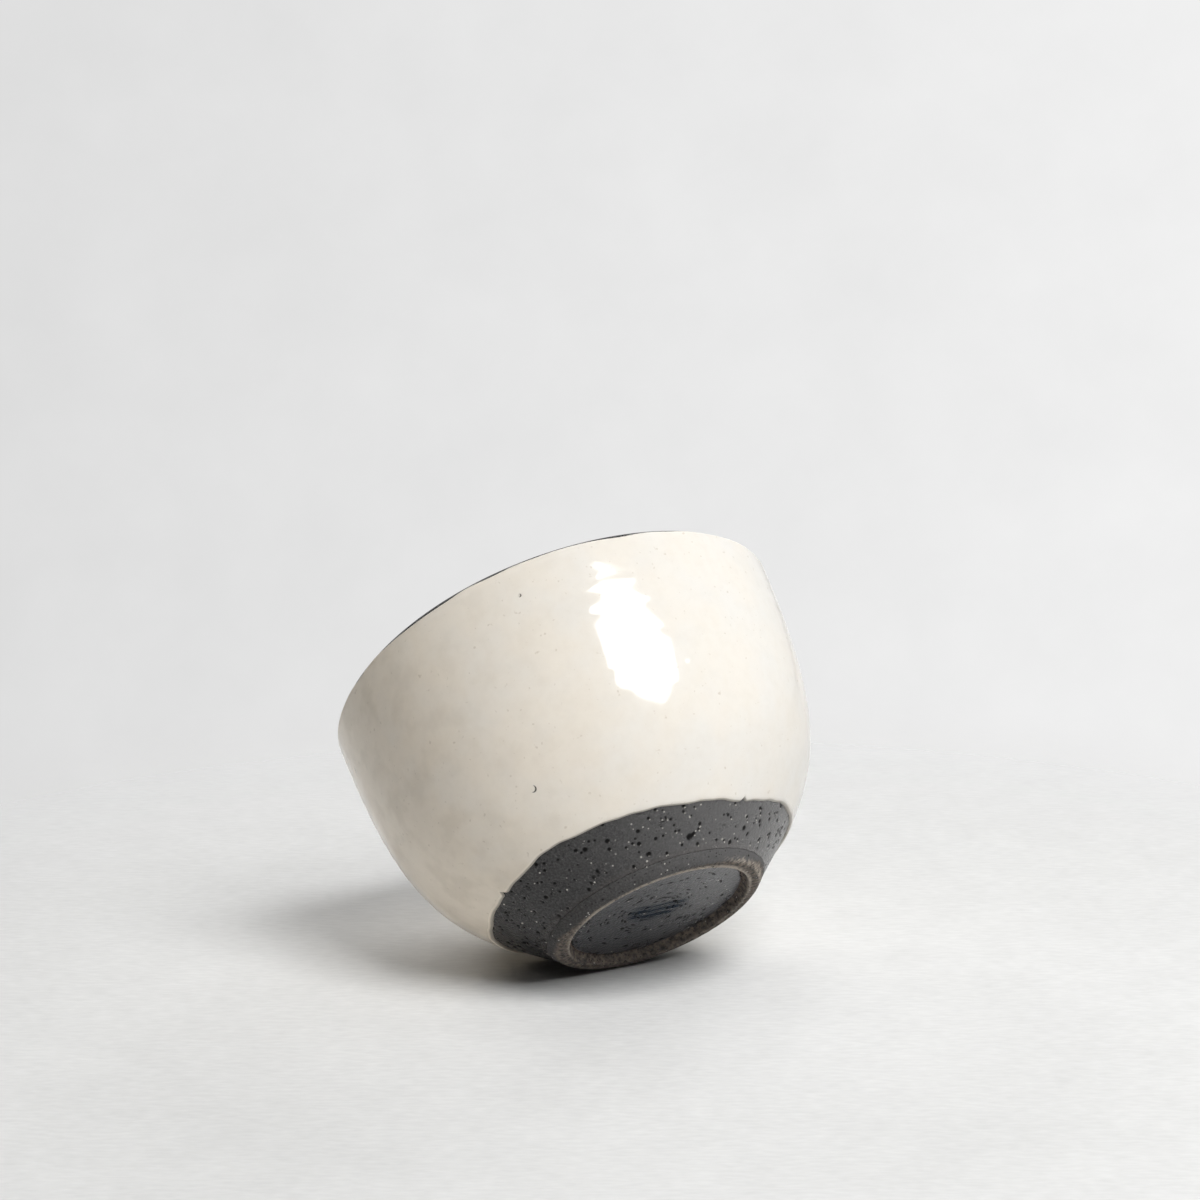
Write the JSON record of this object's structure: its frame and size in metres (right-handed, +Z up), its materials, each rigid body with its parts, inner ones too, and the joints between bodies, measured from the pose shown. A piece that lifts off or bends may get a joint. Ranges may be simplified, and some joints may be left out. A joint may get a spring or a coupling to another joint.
{
  "type": "teacup",
  "caption": "Rounded teacup without a handle: dark slipped stoneware, cream glaze inside and out ending in a wavy line above a low bare foot ring, dark line along the lip.",
  "frame": {"origin": "centre of the foot ring's underside, where the cup stands", "axes": "+Z up along the cup's axis; +Y towards the side that the picture shows"},
  "size_m": [0.0898, 0.0862, 0.059],
  "materials": {
    "stoneware": "bare fired stoneware, hidden under the coats",
    "bare_foot": "bare brown stoneware, rough, worn pale on its inner edge",
    "dark_slip": "charcoal slip, satin, with black pores and pale grit",
    "well_slip": "charcoal slip, satin, with turning marks",
    "cream_glaze": "glossy cream glaze with pinholes and faint mottling",
    "cream_lining": "glossy cream glaze, pooled on the floor"
  },
  "bodies": {
    "root": {"clay_body": "stoneware", "foot_ring": "bare_foot", "slip_coat": "dark_slip", "well_slip": "well_slip", "outer_glaze": "cream_glaze", "inner_glaze": "cream_lining"}
  },
  "joints": []
}
